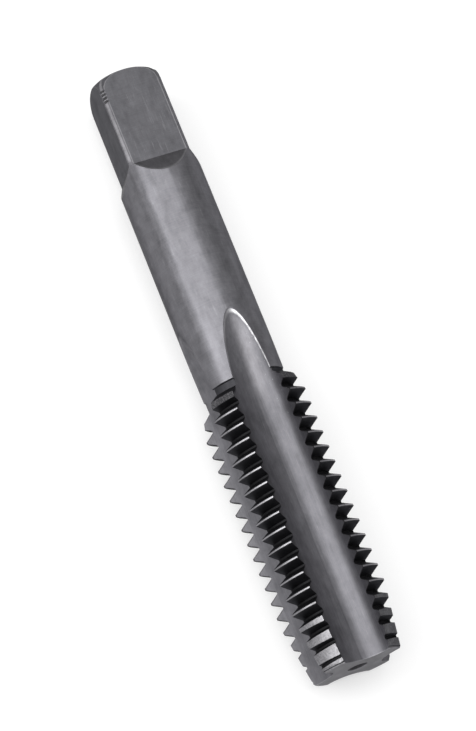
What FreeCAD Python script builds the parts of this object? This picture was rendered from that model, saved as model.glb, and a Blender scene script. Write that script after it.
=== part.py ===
import FreeCAD, Part
import math
import os

# A straight-fluted hand tap for a coarse 18 mm thread: four lands carry the thread, a tapered
# lead starts the cut, and a round shank ends in a driving square. It lies on two of its lands.
# The tool is modelled with its tip at z = 0 and its shank upwards, then laid down.
# Lengths are in millimetres and angles in degrees.

overall_length = 102.4

# Thread
major_diameter = 18.0
pitch = 2.5
thread_angle = 60.0
crest_flat = pitch / 8
root_flat = pitch / 8
thread_length = 47.1
thread_taper_length = 3.0
thread_taper_drop = 0.8
thread_end_slope = 57.0
crest_height_above_tip = 0.18

# Lead at the tip, relieved behind each cutting edge
lead_length = 8.6
lead_slope = 9.1
lead_relief = 0.25
tip_bevel = 0.6
tip_bevel_slope = 38.0

# Flutes
flute_count = 4
flute_width_angle = 60.0
hook_angle = 6.5
core_diameter = 8.7
flute_corner_radius = 3.3
flute_floor_radius = 7.6
flute_full_length = 42.3
flute_cutter_radius = 53.0

# Shank and driving square
shank_diameter = 13.77
neck_depth = 0.2
neck_length = 0.45
square_across_flats = 10.31
square_length = 16.0
square_shoulder_slope = 30.0
end_rounding_length = 3.0
end_rounding_steps = 4
end_face_diameter = 9.8

# Nicks across one corner of the square
nick_count = 4
nick_spacing = 0.62
nick_radius = 0.22
nick_depth = 0.16
first_nick_from_end = 2.75

# Centre holes that carried the blank while it was ground
tip_centre_diameter = 3.3
end_centre_diameter = 3.6
centre_angle = 60.0
centre_pilot_diameter = 1.6
centre_pilot_depth = 3.4

# How far a cutting solid reaches past the surface that it cuts
overreach = 1.0

major_radius = major_diameter / 2
shank_radius = shank_diameter / 2
neck_radius = shank_radius - neck_depth
core_radius = core_diameter / 2
flank_slope = math.tan(math.radians(thread_angle / 2))
thread_depth = (pitch - crest_flat - root_flat) / 2 / flank_slope
root_radius = major_radius - thread_depth
flute_pitch_angle = 360.0 / flute_count
half_flute = math.radians(flute_width_angle / 2)
land_angle = flute_pitch_angle - flute_width_angle

AXIS = FreeCAD.Vector(0, 0, 1)
TIP = FreeCAD.Vector(0, 0, 0)


def turned(shape, angle):
    copy = shape.copy()
    copy.rotate(TIP, AXIS, angle)
    return copy


def solid_of_revolution(points, angle=360):
    """Turn an outline of (radius, height) points about the tool's axis."""
    outline = [FreeCAD.Vector(radius, 0, height) for radius, height in points]
    face = Part.Face(Part.makePolygon(outline + [outline[0]]))
    return face.revolve(TIP, AXIS, angle)


def blank():
    """The turned blank, before the lead, thread, flutes and square.

    Its driven end is turned in short steps along an arc, from the shank to the end face.
    """
    inset = shank_radius - end_face_diameter / 2
    rounding_radius = (inset ** 2 + end_rounding_length ** 2) / (2 * inset)
    full_turn = math.asin(end_rounding_length / rounding_radius)
    rounding = []
    for index in range(end_rounding_steps + 1):
        angle = full_turn * index / end_rounding_steps
        rounding.append((
            shank_radius - rounding_radius * (1 - math.cos(angle)),
            overall_length - end_rounding_length + rounding_radius * math.sin(angle)))
    return solid_of_revolution([
        (0, 0),
        (major_radius, 0),
        (major_radius, thread_length),
        (shank_radius, thread_length),
        *rounding,
        (0, overall_length),
    ])


def centre_hole(mouth_diameter):
    """A countersunk centre with its mouth at z = 0, opening downwards."""
    mouth = mouth_diameter / 2
    pilot = centre_pilot_diameter / 2
    cone_slope = math.tan(math.radians(centre_angle / 2))
    cone_depth = (mouth - pilot) / cone_slope
    drill_point = pilot * math.tan(math.radians(31))
    return solid_of_revolution([
        (0, -overreach),
        (mouth + overreach * cone_slope, -overreach),
        (pilot, cone_depth),
        (pilot, centre_pilot_depth),
        (0, centre_pilot_depth + drill_point),
    ])


def flute_section():
    """One flute's outline across the tool, in the plane z = 0, opening along +X.

    A straight cutting face hooks back under its edge, a corner arc turns it into the floor, and
    a wide floor arc climbs to the heel of the land behind.
    """
    edge = FreeCAD.Vector(major_radius * math.cos(half_flute), major_radius * math.sin(half_flute), 0)
    heel = FreeCAD.Vector(edge.x, -edge.y, 0)
    face_turn = half_flute - math.radians(hook_angle)
    down_face = FreeCAD.Vector(-math.cos(face_turn), -math.sin(face_turn), 0)
    off_face = FreeCAD.Vector(math.sin(face_turn), -math.cos(face_turn), 0)

    # The corner arc touches the cutting face and the core.
    start = edge + off_face * flute_corner_radius
    along = start.dot(down_face)
    core_reach = core_radius + flute_corner_radius
    face_depth = -along - math.sqrt(along ** 2 - start.dot(start) + core_reach ** 2)
    corner_centre = start + down_face * face_depth
    face_end = edge + down_face * face_depth

    # The floor arc touches the corner arc and passes through the heel.
    span = heel - corner_centre
    inner = flute_floor_radius - flute_corner_radius
    reach = (inner ** 2 - flute_floor_radius ** 2 + span.dot(span)) / (2 * span.Length)
    side = math.sqrt(inner ** 2 - reach ** 2)
    span_way = FreeCAD.Vector(span).normalize()
    side_way = FreeCAD.Vector(-span_way.y, span_way.x, 0)
    floor_centre = corner_centre + span_way * reach + side_way * side
    outward = (corner_centre - floor_centre).normalize()
    floor_start = corner_centre + outward * flute_corner_radius

    # The outline leaves the tool along the face and along the floor's tangent at the heel.
    out = 3 * overreach
    face_out = edge - down_face * out
    heel_radial = (heel - floor_centre).normalize()
    heel_out = heel + FreeCAD.Vector(-heel_radial.y, heel_radial.x, 0) * out

    def middle(centre, radius, a, b):
        return centre + ((a - centre).normalize() + (b - centre).normalize()).normalize() * radius

    corner_middle = middle(corner_centre, flute_corner_radius, face_end, floor_start)
    floor_middle = middle(floor_centre, flute_floor_radius, floor_start, heel)
    return Part.Wire([
        Part.LineSegment(face_out, face_end).toShape(),
        Part.Arc(face_end, corner_middle, floor_start).toShape(),
        Part.Arc(floor_start, floor_middle, heel).toShape(),
        Part.LineSegment(heel, heel_out).toShape(),
        Part.LineSegment(heel_out, face_out).toShape(),
    ])


def flute_cutter():
    """A flute's full length: straight from the tip, then rising out of the shank on a cutter's arc."""
    section = Part.Face(flute_section())
    section.translate(FreeCAD.Vector(0, 0, -overreach))
    straight = section.extrude(AXIS * (overreach + flute_full_length))
    end = section.copy()
    end.translate(AXIS * (overreach + flute_full_length))
    spindle = FreeCAD.Vector(core_radius + flute_cutter_radius, 0, flute_full_length)
    clear_rise = shank_radius - core_radius + overreach
    runout_angle = math.degrees(math.acos(1 - clear_rise / flute_cutter_radius))
    runout = end.revolve(spindle, FreeCAD.Vector(0, 1, 0), runout_angle)
    return straight.fuse(runout)


def lead_cutter():
    """Cuts the lead on the land that follows the flute along +X, deeper towards its heel."""
    land_middle = flute_pitch_angle / 2
    drop_per_shift = 2 * math.sin(math.radians(land_angle / 2))
    shift = lead_relief / drop_per_shift
    radius_at_tip = major_radius - lead_length * math.tan(math.radians(lead_slope)) - lead_relief / 2
    height = lead_length + 4 * overreach
    tall = height + overreach
    rise = math.tan(math.radians(lead_slope))
    away = math.radians(land_middle - 90)
    centre = FreeCAD.Vector(shift * math.cos(away), shift * math.sin(away), -overreach)
    kept = Part.makeCone(radius_at_tip - overreach * rise, radius_at_tip + height * rise, tall, centre, AXIS)
    reach = major_radius + 3 * overreach
    spread = math.radians(flute_pitch_angle / 2 - 1)
    corners = [FreeCAD.Vector(0, 0, -overreach)]
    for turn in (-spread, 0, spread):
        angle = math.radians(land_middle) + turn
        corners.append(FreeCAD.Vector(reach * math.cos(angle), reach * math.sin(angle), -overreach))
    sector = Part.Face(Part.makePolygon(corners + [corners[0]])).extrude(AXIS * tall)
    return sector.cut(kept)


def tip_bevel_cutter():
    """Breaks the edge where the lead meets the end face."""
    run = math.tan(math.radians(tip_bevel_slope))
    tip_radius = major_radius - lead_length * math.tan(math.radians(lead_slope))
    return solid_of_revolution([
        (tip_radius - (tip_bevel + overreach) * run, -overreach),
        (major_radius + overreach, -overreach),
        (major_radius + overreach, tip_bevel + (major_radius + overreach - tip_radius) / run),
    ])


def land_thread_end(index):
    """Where the thread ends on a land: it follows the helix round, up to the land at index 0."""
    return thread_length - pitch * ((-index) % flute_count) / flute_count


def thread_end_cutter(index):
    """Tapers the last turn of thread on a land and drops it to a shallow neck in the shank."""
    foot = land_thread_end(index)
    slope = math.tan(math.radians(thread_end_slope))
    drop_start = foot - (major_radius - thread_taper_drop - neck_radius) / slope
    past = 0.2
    outside = major_radius + overreach
    neck_end = thread_length + neck_length
    span = (flute_pitch_angle + land_angle) / 2
    cutter = solid_of_revolution([
        (outside, drop_start - thread_taper_length * (1 + past)),
        (major_radius + thread_taper_drop * past, drop_start - thread_taper_length * (1 + past)),
        (major_radius - thread_taper_drop, drop_start),
        (neck_radius, foot),
        (neck_radius, neck_end),
        (outside, neck_end + outside - neck_radius),
    ], span)
    return turned(cutter, (index + 0.5) * flute_pitch_angle - span / 2)


def groove_section():
    """The thread groove's outline beside the root, widening outwards past the crests."""
    outside = 0.06 * pitch
    outer_half = root_flat / 2 + (thread_depth + outside) * flank_slope
    outline = [
        FreeCAD.Vector(root_radius, 0, -root_flat / 2),
        FreeCAD.Vector(major_radius + outside, 0, -outer_half),
        FreeCAD.Vector(major_radius + outside, 0, outer_half),
        FreeCAD.Vector(root_radius, 0, root_flat / 2),
    ]
    return Part.makePolygon(outline + [outline[0]])


def thread_cutters():
    """Right-hand helical grooves, as one short arc for each turn across each land.

    Every arc starts and ends in the open space of a flute.
    """
    span = (flute_pitch_angle + land_angle) / 2
    helix = Part.makeHelix(pitch, pitch * span / 360, root_radius)
    arc = Part.Wire(helix.Edges).makePipeShell([groove_section()], True, True)
    first_groove = crest_height_above_tip + pitch / 2 - 2 * pitch
    grooves = []
    for index in range(flute_count):
        start = (index + 0.5) * flute_pitch_angle - span / 2
        height = first_groove + pitch * start / 360
        last_height = land_thread_end(index) - pitch / 2 - pitch * span / 720
        while height < last_height:
            groove = turned(arc, start)
            groove.translate(AXIS * height)
            grooves.append(groove)
            height += pitch
    return grooves


def square_cutter():
    """Cuts the flat that faces +X, with a sloping shoulder down to the round shank."""
    flat = square_across_flats / 2
    top = overall_length + overreach
    bottom = overall_length - square_length
    reach = shank_radius + overreach
    run = (reach - flat) / math.tan(math.radians(square_shoulder_slope))
    outline = [
        FreeCAD.Vector(flat, -reach, top),
        FreeCAD.Vector(reach, -reach, top),
        FreeCAD.Vector(reach, -reach, bottom - run),
        FreeCAD.Vector(flat, -reach, bottom),
    ]
    face = Part.Face(Part.makePolygon(outline + [outline[0]]))
    return face.extrude(FreeCAD.Vector(0, 2 * reach, 0))


def corner_nicks():
    """Small rounded nicks across the corner of the square at the heel side of the top flute."""
    nicks = []
    for index in range(nick_count):
        height = overall_length - first_nick_from_end - index * nick_spacing
        start = FreeCAD.Vector(shank_radius - nick_depth + nick_radius, -overreach, height)
        nicks.append(turned(Part.makeCylinder(nick_radius, 2 * overreach, start, FreeCAD.Vector(0, 1, 0)), -45))
    return nicks


def thread_tap():
    tool = blank()
    cutters = [tip_bevel_cutter()]
    for index in range(flute_count):
        cutters.append(turned(lead_cutter(), index * flute_pitch_angle))
        cutters.append(turned(flute_cutter(), index * flute_pitch_angle))
        cutters.append(thread_end_cutter(index))
    for index in range(4):
        cutters.append(turned(square_cutter(), index * 90))
    cutters += corner_nicks()
    cutters.append(centre_hole(tip_centre_diameter))
    end_hole = centre_hole(end_centre_diameter)
    end_hole.rotate(TIP, FreeCAD.Vector(1, 0, 0), 180)
    end_hole.translate(AXIS * overall_length)
    cutters.append(end_hole)
    for cutter in cutters:
        tool = tool.cut(cutter)
    return tool.cut(thread_cutters())


def laid_down(shape):
    """Tip towards +X, a flute upwards and the opposite one downwards, resting on two lands."""
    shape.rotate(TIP, FreeCAD.Vector(0, 1, 0), -90)
    rest_height = major_radius * math.cos(half_flute)
    shape.translate(FreeCAD.Vector(overall_length / 2, 0, rest_height))
    return shape


os.makedirs("parts", exist_ok=True)
tap = laid_down(thread_tap())
tap.exportStep("parts/thread_tap.step")
box = tap.optimalBoundingBox(True, False)
print("thread_tap solids", len(tap.Solids), "valid", tap.isValid())
print("volume %.1f mm3, box x %.2f..%.2f y %.2f..%.2f z %.3f..%.3f" % (
    tap.Volume, box.XMin, box.XMax, box.YMin, box.YMax, box.ZMin, box.ZMax))
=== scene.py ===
import math

import bmesh
import bpy
from mathutils import Matrix, Vector

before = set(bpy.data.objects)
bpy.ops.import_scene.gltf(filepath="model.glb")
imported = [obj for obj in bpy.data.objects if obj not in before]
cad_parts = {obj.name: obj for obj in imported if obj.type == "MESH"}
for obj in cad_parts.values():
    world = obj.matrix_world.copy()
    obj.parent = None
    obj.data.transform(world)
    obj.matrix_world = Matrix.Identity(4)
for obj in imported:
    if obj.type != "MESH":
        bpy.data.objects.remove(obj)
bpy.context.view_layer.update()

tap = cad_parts["thread_tap"]
print("frame loaded")


class Wire:  # an output socket in a material; sums on it become Math nodes
    def __init__(self, tree, socket=None):
        self.tree, self.socket = tree, socket

    def node(self, kind, settings=None, values=None, output=0):
        made = self.tree.nodes.new(kind)
        for name, value in (settings or {}).items():
            setattr(made, name, value)
        for name, value in (values or {}).items():
            if isinstance(value, Wire):
                self.tree.links.new(value.socket, made.inputs[name])
            else:
                made.inputs[name].default_value = value
        return Wire(self.tree, made.outputs[output] if made.outputs else None)

    def math(self, operation, first, second=0.0):
        return self.node("ShaderNodeMath", {"operation": operation}, {0: first, 1: second})

    def __add__(self, other):
        return self.math("ADD", self, other)

    def __sub__(self, other):
        return self.math("SUBTRACT", self, other)

    def __rsub__(self, other):
        return self.math("SUBTRACT", other, self)

    def __mul__(self, other):
        return self.math("MULTIPLY", self, other)

    __radd__ = __add__
    __rmul__ = __mul__

    def other(self, output):  # another output of the same node
        return Wire(self.tree, self.socket.node.outputs[output])

    def most(self, other):
        return self.math("MAXIMUM", self, other)

    def least(self, other):
        return self.math("MINIMUM", self, other)

    def plain(self):  # without its sign
        return self.math("ABSOLUTE", self)

    def wrapped(self, length):  # starts again from 0 at every length
        return self.math("FLOORED_MODULO", self, length)

    def step(self, low, high):  # smooth 0 to 1 as the value goes from low to high
        return self.node("ShaderNodeMapRange", {"interpolation_type": "SMOOTHSTEP"},
                         {"Value": self, "From Min": low, "From Max": high})

    def past(self, place, soft):
        return self.step(place - soft, place + soft)

    def band(self, low, high, soft):
        return self.past(low, soft) * (1 - self.past(high, soft))

    def stretched(self, scale):  # the scale along each axis
        return self.node("ShaderNodeVectorMath", {"operation": "MULTIPLY"}, {0: self, 1: scale})

    def slanted(self, rotation, scale):
        return self.node("ShaderNodeMapping", {}, {"Vector": self, "Rotation": rotation, "Scale": scale})

    def noise(self, scale, detail, rough):
        return self.node("ShaderNodeTexNoise", {},
                         {"Vector": self, "Scale": scale, "Detail": detail, "Roughness": rough})

    def over(self, under, cover):  # this value as a mask: cover where it is 1
        return self.node("ShaderNodeMix", {"data_type": "RGBA"}, {0: self, 6: under, 7: cover}, 2)

    def mixed(self, under, cover):
        return self.node("ShaderNodeMix", {"data_type": "FLOAT"}, {0: self, 2: under, 3: cover})


def newMaterial(name):
    material = bpy.data.materials.new(name)
    material.use_nodes = True
    tree = material.node_tree
    tree.nodes.clear()
    return material, Wire(tree)


# The tap's steel. Lengths are in millimetres, from the tip or from the tool's own axis. Angles
# are in degrees round it: 0 is straight up, at the middle of the upper flute.
steelLook = {
    "axisHeight": 7.794,
    "length": 102.4,
    "pitch": 2.5,
    "outerRadius": 9.0,
    "rootRadius": 7.376,
    "threadDepth": 1.62,
    "halfRoot": 0.156,
    "flankRise": 1.732,
    "firstGroove": 1.43,
    "leadLength": 8.6,
    "lastTurn": 43.0,
    "threadLength": 47.7,
    "fluteEdge": 30.4,
    "fluteLength": 42.3,
    "fluteEnd": 60.1,
    "shankRadius": 6.885,
    "shoulderSpan": (83.2, 88.0),
    "squareStart": 85.2,
    "cornerStart": 86.8,
    "roundingLength": 3.0,
    "roundingRadius": 3.26,
    "holeRadius": 1.625,
    "nickSpan": (97.55, 99.9),
    "nickSpacing": 0.62,
    # Colours
    "shankColour": (0.152, 0.150, 0.162, 1),
    "fluteColour": (0.150, 0.148, 0.160, 1),
    "faceColour": (0.122, 0.120, 0.129, 1),
    "flankColour": (0.040, 0.040, 0.044, 1),
    "rootColour": (0.014, 0.014, 0.015, 1),
    "crestColour": (0.09, 0.089, 0.095, 1),
    "crestHighlightColour": (0.22, 0.215, 0.23, 1),
    "heelHighlightColour": (0.40, 0.395, 0.41, 1),
    "leadColour": (0.20, 0.197, 0.208, 1),
    "leadHeelColour": (0.34, 0.336, 0.35, 1),
    "shadedLeadColour": (0.12, 0.119, 0.126, 1),
    "earlyColour": (0.055, 0.054, 0.058, 1),
    "endColour": (0.25, 0.247, 0.262, 1),
    "holeShadeColour": (0.050, 0.049, 0.053, 1),
    "squareColour": (0.118, 0.117, 0.126, 1),
    "shoulderColour": (0.13, 0.128, 0.137, 1),
    "edgeHighlightColour": (0.22, 0.217, 0.228, 1),
    "wearAndHighlightColour": (0.26, 0.255, 0.27, 1),
    "chipAndGlintColour": (0.75, 0.75, 0.76, 1),
    "burrColour": (0.17, 0.168, 0.176, 1),
    "dirtAndShadeColour": (0.022, 0.021, 0.022, 1),
    "edgeTint": (0.38, 0.38, 0.38, 1),
    # Patterns: their scale along the tool, across it and upwards
    "rings": (9.0, 0.35, 0.35),
    "lines": (0.12, 7.0, 7.0),
    "blotches": (0.12, 0.35, 0.35),
    "clouds": (0.42, 0.6, 0.6),
    "scuffs": (0.22, 3.2, 3.2),
    "marks": (0.5, 6.0, 6.0),
    # How strongly each thing shows
    "scratches": 0.25,
    "runOutHighlight": 0.55,
    "rimShade": 0.8,
    "nickShade": 0.75,
    "crestDirt": 0.7,
    "speckDirt": 0.6,
    "leadSpeckle": 2.2,
    "roughness": 0.24,
    "bump": 0.10,
    "bumpHeight": 0.00005,
}


def toolSteel():
    look = steelLook
    material, start = newMaterial("toolSteel")
    place = start.node("ShaderNodeTexCoord", output=3)
    mm = start.node("ShaderNodeMapping", {}, {
        "Vector": place, "Scale": (1000, 1000, 1000), "Location": (0, 0, -look["axisHeight"])})
    split = start.node("ShaderNodeSeparateXYZ", {}, {0: mm})
    x, y, z = split, split.other(1), split.other(2)
    tip = look["length"] / 2 - x  # distance from the tip
    radius = start.math("SQRT", y * y + z * z)
    turn = start.math("ARCTAN2", y, z) * (180 / math.pi)
    folded = (turn + 45).wrapped(90.0) - 45  # 0 in the middle of each flute
    corner = (turn.wrapped(90.0) - 45).plain()  # 0 at the square's corners
    heel = (folded.wrapped(90.0) - 30) * (1 / 30)  # 0 at a land's cutting edge, 1 at its heel

    facing = place.other(1)  # the surface's own direction
    radial = start.node("ShaderNodeVectorMath", {"operation": "NORMALIZE"},
                        {0: start.node("ShaderNodeCombineXYZ", {}, {1: y, 2: z})})
    outward = start.node("ShaderNodeVectorMath", {"operation": "DOT_PRODUCT"}, {0: facing, 1: radial}, 1)
    aside = start.node("ShaderNodeSeparateXYZ", {}, {
        0: start.node("ShaderNodeVectorMath", {"operation": "ABSOLUTE"}, {0: facing})})
    upright = aside.other(1).most(aside.other(2))

    # The outlines of the rounded end and of the thread
    along = (tip - (look["length"] - look["roundingLength"])).most(0.0)
    reach = look["roundingRadius"]
    full = start.math("SQRT", reach * reach - along * along) + (look["shankRadius"] - reach)
    grooves = (tip - look["firstGroove"] - turn * (look["pitch"] / 360)) * (1 / look["pitch"])
    offGroove = ((grooves + 0.5).wrapped(1.0) - 0.5).plain() * look["pitch"]
    profile = ((offGroove - look["halfRoot"]) * look["flankRise"]).most(0.0).least(look["threadDepth"])
    profile = profile + look["rootRadius"]

    # The flutes: between their two curved edges, and rising out of the tool at their far end
    threaded = 1 - tip.past(look["threadLength"], 0.05)
    short = look["outerRadius"] - radius
    rise = (tip - look["fluteLength"]).most(0.0)
    pastHeel = (folded + look["fluteEdge"] - short * short * 0.63 - rise * rise * 0.1).past(0.0, 0.1)
    pastEdge = (folded - look["fluteEdge"] - short * 0.72 - short * short * 0.10).past(0.0, 0.1)
    inFlute = (pastHeel * (1 - pastEdge)).most(1 - radius.step(6.55, 6.62))
    walls = (1 - radius.step(7.15, 7.30)).most(1 - outward.step(0.55, 0.75)) * (1 - aside.step(0.45, 0.55))
    runOut = (1 - radius.step(6.80, 6.86)) * (1 - tip.past(look["fluteEnd"], 0.1))
    fluted = threaded.mixed(runOut, walls * inFlute)
    face = fluted * threaded * radius.step(7.0, 8.6)
    # a dark outline along the tooth profiles on the flute faces: painted shade
    rim = fluted * threaded * (1 - (profile - radius).step(0.12, 0.30)) * radius.step(7.4, 7.6)
    upper = turn.band(-40.0, 40.0, 1.0)  # the upper flute alone
    # the run-out edges, strongest on the upper flute: painted edge highlight with wear
    archHighlight = fluted * (1 - threaded) * radius.step(6.58, 6.74) * (0.3 + 0.7 * upper)
    # a lighter patch in the flute run-outs: painted highlight
    paintedRunOutHighlight = fluted * tip.band(44.0, 59.0, 3.0) * folded.band(2.0, 22.0, 6.0) * (1 - radius.step(6.3, 6.7))

    # The lands
    thread = threaded * (1 - fluted) * radius.step(3.2, 3.3) * tip.step(0.03, 0.10)
    offRoot = (radius - look["rootRadius"]).plain()
    root = thread * outward.step(0.90, 0.97) * (1 - offRoot.step(0.03, 0.07))
    crest = thread * outward.step(0.60, 0.72) * offRoot.step(0.03, 0.07) * radius.step(6.9, 7.0)
    lead = crest * (1 - tip.past(look["leadLength"], 0.3))
    early = crest * tip.past(look["lastTurn"], 0.4)
    crestHighlight = crest * offGroove.past(1.15, 0.04)  # along the middle of each crest: painted highlight, brighter towards the heel

    # The square, both ends and the nicks
    square = tip.past(look["squareStart"], 0.2) * upright.step(0.97, 0.995)
    shoulder = tip.band(*look["shoulderSpan"], 0.1) * aside.step(0.25, 0.35)
    # lighter along the square's edges and the shoulder's outer rim: painted edge highlight
    edgeHighlight = (square * (1 - (full - radius).step(0.04, 0.16))).most(shoulder * radius.step(6.62, 6.80))
    corners = tip.past(look["cornerStart"], 0.6) * (1 - square) * (1 - aside.step(0.80, 0.95))
    # lighter along the square's corners, more on the -Y side: wear and painted highlight
    cornerWearAndHighlight = corners * (1 - corner.step(0.8, 3.2)) * (1 - turn.step(-20.0, 20.0) * 0.8)
    dull = corners * corner.step(1.2, 3.2)
    endFace = (1 - tip.step(0.03, 0.10)).most(tip.step(look["length"] - 0.10, look["length"] - 0.03))
    # the centre holes, painted dark: painted shade in the recess
    hole = (1 - radius.past(look["holeRadius"], 0.125)) * (1 - endFace)
    spacing = look["nickSpacing"]
    offNick = ((tip - (look["nickSpan"][0] - 0.07)).wrapped(spacing) - spacing / 2).plain()
    nicks = tip.band(*look["nickSpan"], 0.05) * (1 - offNick.step(0.12, 0.19))
    nicks = nicks * (1 - (turn + 45).plain().step(2.4, 3.4))

    # The patterns
    rings = mm.stretched(look["rings"]).noise(1.0, 4.0, 0.6)  # grinding round the tool
    lines = mm.stretched(look["lines"]).noise(1.0, 4.0, 0.6)  # grinding along it
    grain = fluted.mixed(rings, lines)
    blotch = mm.stretched(look["blotches"]).noise(1.0, 3.0, 0.6)
    cloud = mm.stretched(look["clouds"]).noise(1.0, 6.0, 0.68)
    fine = mm.noise(6.0, 4.0, 0.7)
    specks = mm.noise(3.4, 5.0, 0.75)
    scuffs = mm.slanted((0.0, 0.5, 0.6), look["scuffs"]).noise(1.0, 4.0, 0.65)
    marks = mm.slanted((0.4, -0.9, 0.9), look["marks"]).noise(1.0, 3.0, 0.6)
    scratched = scuffs.step(0.63, 0.70).most(marks.step(0.66, 0.70)) * (1 - thread)
    chips = fluted * folded.step(8.0, 20.0) * radius.step(5.2, 6.2) * tip.band(38.0, 62.0, 2.0)
    # painted shade in the nicks and along the tooth outlines, with dark specks of dirt on the crests and all
    # over
    dirtAndShade = (rim * look["rimShade"]).most(nicks * look["nickShade"])
    dirtAndShade = dirtAndShade.most((crest - lead) * specks.step(0.56, 0.66) * look["crestDirt"])
    dirtAndShade = dirtAndShade.most(specks.step(0.68, 0.76) * look["speckDirt"])

    # Each cover lies over those before it
    toHeel = heel.step(0.0, 1.0)
    # bright spots on the upper run-out edge: chips and painted highlight
    chipsAndGlint = folded.step(0.0, 12.0) * upper * cloud.step(0.40, 0.60)
    colour = look["shankColour"]
    for mask, cover in (
            (square, look["squareColour"]),
            (dull, look["squareColour"]),
            (cornerWearAndHighlight, look["wearAndHighlightColour"]),
            (fluted, look["fluteColour"]),
            (face, look["faceColour"]),
            (paintedRunOutHighlight * look["runOutHighlight"], look["wearAndHighlightColour"]),
            (archHighlight, chipsAndGlint.over(look["wearAndHighlightColour"], look["chipAndGlintColour"])),
            # the flanks and, darker still, the roots: painted shade in the grooves
            (thread, look["flankColour"]),
            (root, look["rootColour"]),
            (crest, look["crestColour"]),
            # painted highlight along the crests, brightest towards the heel
            (crestHighlight, toHeel.over(look["crestHighlightColour"], look["heelHighlightColour"])),
            (lead, toHeel.over(look["leadColour"], look["leadHeelColour"])),
            (lead * turn.band(20.0, 70.0, 3.0), look["shadedLeadColour"]),  # one land's lead is painted darker: painted shade
            (early, look["earlyColour"]),
            (endFace, look["endColour"]),
            (hole, look["holeShadeColour"]),
            (shoulder, look["shoulderColour"]),
            (edgeHighlight, look["edgeHighlightColour"]),
            (scratched * look["scratches"], look["wearAndHighlightColour"]),
            (chips * specks.step(0.64, 0.70), look["chipAndGlintColour"]),
            (early * fine.step(0.46, 0.64), look["burrColour"]),
            (dirtAndShade, look["dirtAndShadeColour"])):
        colour = mask.over(colour, cover)
    shade = 0.48 * grain + 0.50 * blotch + 0.92 * cloud + 0.24 * scuffs + 0.16 * fine - 0.15
    shade = shade + lead * (specks - 0.5) * look["leadSpeckle"]
    colour = start.node("ShaderNodeVectorMath", {"operation": "SCALE"}, {0: colour, "Scale": shade})

    roughness = look["roughness"] + 0.14 * grain + 0.06 * fine + 0.10 * cloud
    roughness = roughness + 0.16 * square + 0.10 * thread + 0.10 * fluted
    bump = start.node("ShaderNodeBump", {}, {
        "Strength": look["bump"], "Distance": look["bumpHeight"], "Height": grain * 0.6 + fine * 0.4})
    shader = start.node("ShaderNodeBsdfPrincipled", {}, {
        "Base Color": colour, "Metallic": 1.0, "Roughness": roughness, "Specular Tint": look["edgeTint"],
        "Normal": bump})
    start.node("ShaderNodeOutputMaterial", {}, {"Surface": shader})
    return material


tap.data.materials.clear()
tap.data.materials.append(toolSteel())
print("tap dressed")


# The floor shows whiter than it is lit, also where the steel mirrors it.
floorLook = {"size": 6.0, "colour": (0.96, 0.96, 0.96, 1), "roughness": 0.9, "gloss": 0.1, "whiter": 0.5}


def floor():
    look = floorLook
    sheet = bmesh.new()
    bmesh.ops.create_grid(sheet, x_segments=1, y_segments=1, size=look["size"] / 2)
    mesh = bpy.data.meshes.new("floor")
    sheet.to_mesh(mesh)
    sheet.free()
    made = bpy.data.objects.new("floor", mesh)
    bpy.context.scene.collection.objects.link(made)
    material, start = newMaterial("floorPaper")
    paper = start.node("ShaderNodeBsdfPrincipled", {}, {
        "Base Color": look["colour"], "Roughness": look["roughness"], "Specular IOR Level": look["gloss"]})
    white = start.node("ShaderNodeEmission", {}, {"Color": (1, 1, 1, 1), "Strength": 1.0})
    ray = start.node("ShaderNodeLightPath")
    seen = ray.most(ray.other("Is Glossy Ray")).most(ray.other("Is Transmission Ray"))
    shader = start.node("ShaderNodeMixShader", {}, {0: seen * look["whiter"], 1: paper, 2: white})
    start.node("ShaderNodeOutputMaterial", {}, {"Surface": shader})
    mesh.materials.append(material)


floor()
print("floor laid")


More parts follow.
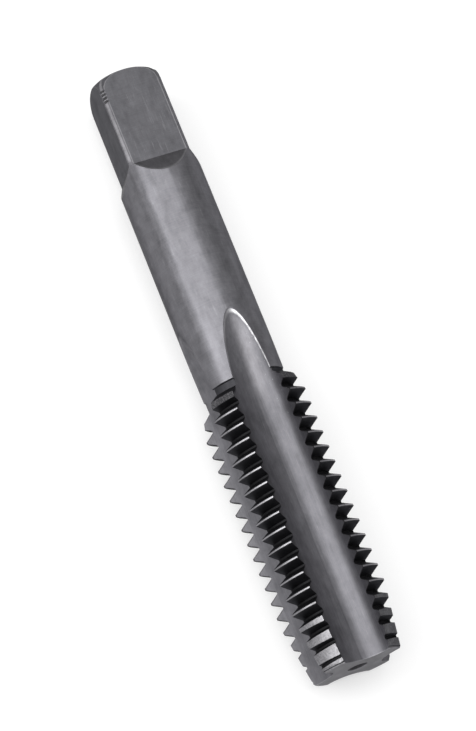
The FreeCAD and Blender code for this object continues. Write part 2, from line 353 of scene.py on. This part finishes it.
# Lamps stand round the tool's axis: turn is 0 overhead and grows towards +Y.
lamps = {
    "overhead": {"turn": -12, "along": -0.04, "distance": 0.60, "size": (0.48, 0.70), "power": 3.14},
    "leftStrip": {"turn": -54, "along": -0.13, "distance": 0.60, "size": (0.30, 0.20), "power": 1.04},
    "rightSoft": {"turn": 36, "along": -0.13, "distance": 0.60, "size": (0.30, 0.36), "power": 0.16},
}
worldLook = {"colour": (1, 1, 1, 1), "strength": 0.56}


def addLamps():
    for name, look in lamps.items():
        turn = math.radians(look["turn"])
        light = bpy.data.lights.new(name, "AREA")
        light.shape, light.energy = "RECTANGLE", look["power"]
        light.size, light.size_y = look["size"]
        lamp = bpy.data.objects.new(name, light)
        bpy.context.scene.collection.objects.link(lamp)
        away = Vector((0, math.sin(turn), math.cos(turn)))
        side = Vector((1, 0, 0))
        spot = away * look["distance"] + side * look["along"]
        facing = Matrix((side, away.cross(side), away)).transposed().to_4x4()
        lamp.matrix_world = Matrix.Translation(spot) @ facing
    world = bpy.data.worlds.new("studio")
    bpy.context.scene.world = world
    world.use_nodes = True
    air = world.node_tree.nodes["Background"]
    air.inputs["Color"].default_value = worldLook["colour"]
    air.inputs["Strength"].default_value = worldLook["strength"]


addLamps()
print("lamps set")


# Camera: turn and tilt are about the tool's axis and along it, in degrees.
view = {"aim": (0.00008, 0.00037, 0.00790), "distance": 0.47912, "turn": 16.102, "tilt": 15.768,
        "roll": 22.085, "lens": 151.03, "sensor": 36}


def addCamera():
    turn, tilt, roll = (math.radians(view[name]) for name in ("turn", "tilt", "roll"))
    ahead = Vector((-math.sin(tilt), math.cos(tilt) * math.sin(turn), -math.cos(tilt) * math.cos(turn)))
    alongTool = (Vector((-1, 0, 0)) + ahead * ahead.x).normalized()
    up = alongTool * math.cos(roll) + ahead.cross(alongTool) * math.sin(roll)
    lens = bpy.data.cameras.new("camera")
    lens.lens, lens.sensor_width = view["lens"], view["sensor"]
    lens.clip_start, lens.clip_end = 0.01, 50
    camera = bpy.data.objects.new("camera", lens)
    bpy.context.scene.collection.objects.link(camera)
    facing = Matrix((ahead.cross(up), up, -ahead)).transposed().to_4x4()
    camera.matrix_world = Matrix.Translation(Vector(view["aim"]) - ahead * view["distance"]) @ facing
    bpy.context.scene.camera = camera


addCamera()
bpy.context.scene.view_settings.view_transform = "Standard"
print("camera set")
